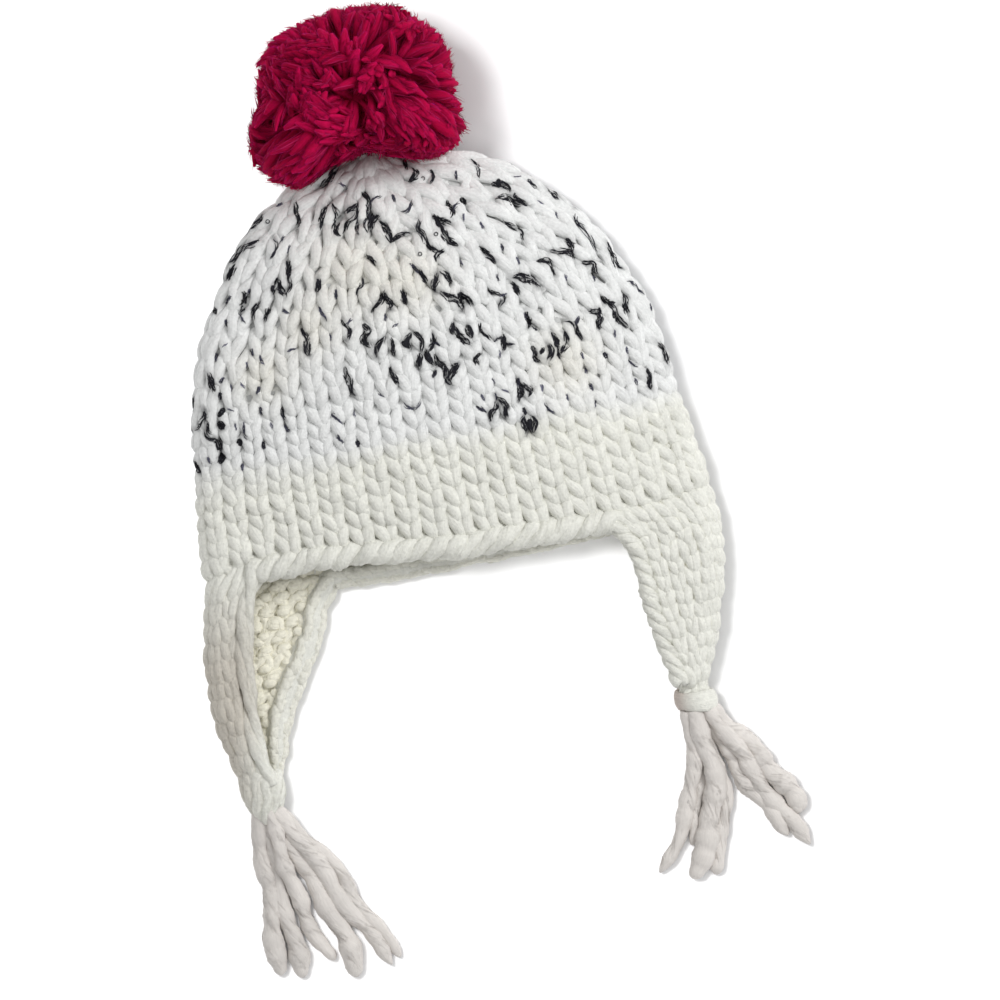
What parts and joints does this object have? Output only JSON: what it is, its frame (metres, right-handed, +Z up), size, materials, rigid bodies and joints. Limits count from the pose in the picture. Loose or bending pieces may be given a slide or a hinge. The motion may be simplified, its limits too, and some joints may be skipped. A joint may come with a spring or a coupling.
{
  "type": "earflap pompom hat",
  "caption": "Chunky knitted winter hat with earflaps, twisted edging, yarn tassels on the flaps and a fluffy pompom, lying flat on its back.",
  "frame": {"origin": "on the floor, under the middle of the back panel that the hat lies on", "axes": "+Y from the rim to the pompom, +X to the right with the front facing up, +Z up"},
  "size_m": [0.252, 0.4196, 0.0836],
  "materials": {
    "white_wool": "thick soft knit, cool white with black flecks",
    "ivory_wool": "thick soft knit, warm ivory",
    "tassel_wool": "soft thick and thin roving, off-white",
    "pompom_wool": "brushed fluffy yarn, crimson"
  },
  "bodies": {
    "root": {"crown": "white_wool", "band": "ivory_wool", "ear_flap_left": "ivory_wool", "ear_flap_right": "ivory_wool", "edging_front": "ivory_wool", "edging_back": "ivory_wool", "knot_left": "ivory_wool", "knot_right": "ivory_wool", "tassel_left": "tassel_wool", "tassel_right": "tassel_wool", "pompom": "pompom_wool"}
  },
  "joints": []
}
